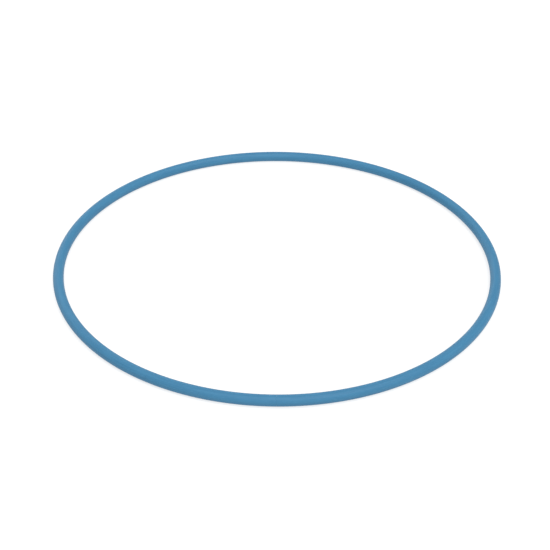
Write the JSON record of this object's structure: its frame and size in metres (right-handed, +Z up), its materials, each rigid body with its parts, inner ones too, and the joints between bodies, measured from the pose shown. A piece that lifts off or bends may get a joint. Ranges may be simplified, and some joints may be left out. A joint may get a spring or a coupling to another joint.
{
  "type": "rhythmic gymnastics hoop",
  "caption": "Rigid plastic rhythmic gymnastics hoop: a hollow round tube bent to a circle, butted end to end and held by a plug inside and flush pins.",
  "frame": {"origin": "centre of the ring, at the level of the floor that the hoop lies on", "axes": "+Z up, square to the ring's plane; the butt joint that closes the ring is at -Y, and +X is to the right as seen from the joint's side"},
  "size_m": [0.84, 0.84, 0.02],
  "materials": {
    "hoop_plastic": "satin",
    "plug_plastic": "matte",
    "pin_steel": "satin"
  },
  "bodies": {
    "root": {"hoop_tube": "hoop_plastic", "joiner_plug": "plug_plastic", "joint_pin_1": "pin_steel", "joint_pin_2": "pin_steel", "joint_pin_3": "pin_steel", "joint_pin_4": "pin_steel"}
  },
  "joints": []
}
